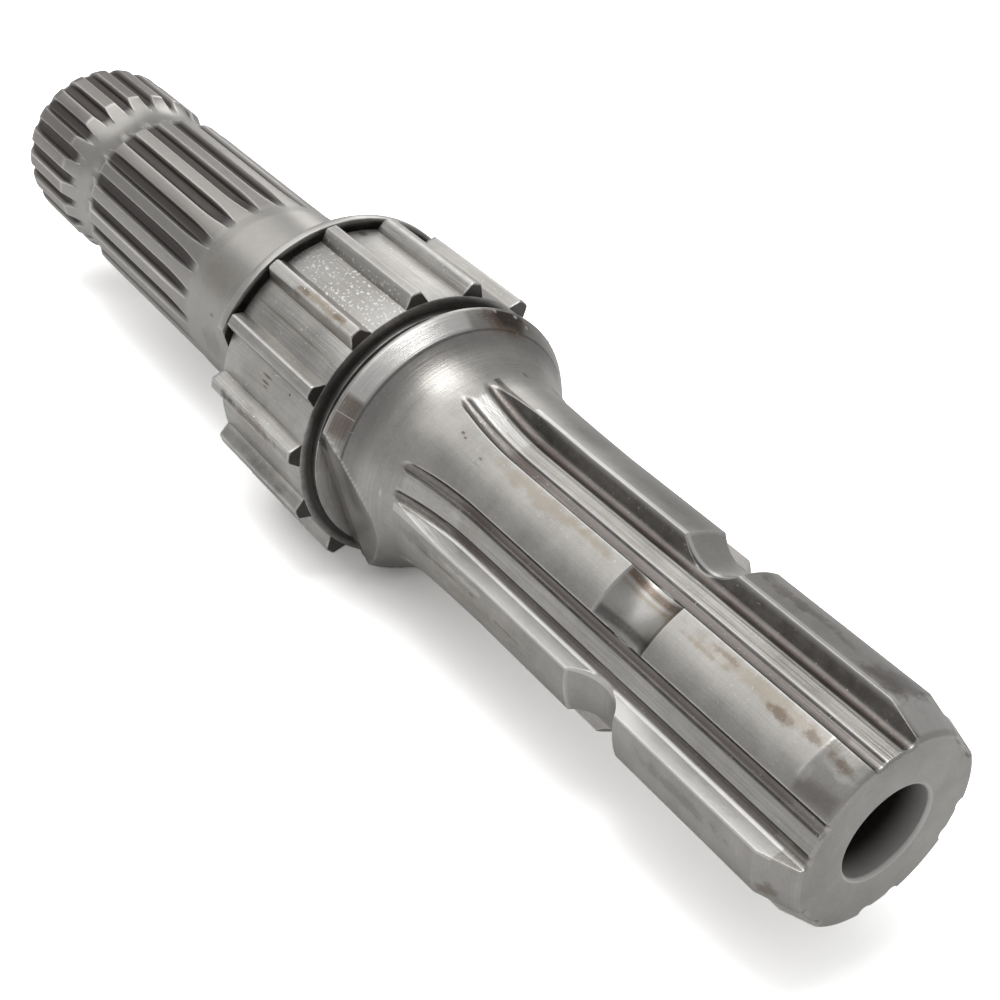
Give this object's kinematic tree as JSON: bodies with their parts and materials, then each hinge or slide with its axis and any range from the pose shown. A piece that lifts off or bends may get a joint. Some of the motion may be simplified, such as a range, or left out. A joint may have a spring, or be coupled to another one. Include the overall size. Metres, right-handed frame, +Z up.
{
  "type": "power take-off shaft",
  "caption": "Steel power take-off stub shaft with a coarse-splined end, a fine-splined end, and a shoulder and toothed drive collar between them.",
  "frame": {"origin": "on the ground below the middle of the shaft's length, with the shaft lying on its toothed collar", "axes": "+X along the shaft axis towards the coarse-splined end, +Z up"},
  "size_m": [0.235, 0.0532, 0.0523],
  "materials": {
    "steel": "satin, machined"
  },
  "bodies": {
    "root": {"coarse_spline_end": "steel", "shoulder_hub": "steel", "fine_spline_end": "steel"}
  },
  "joints": []
}
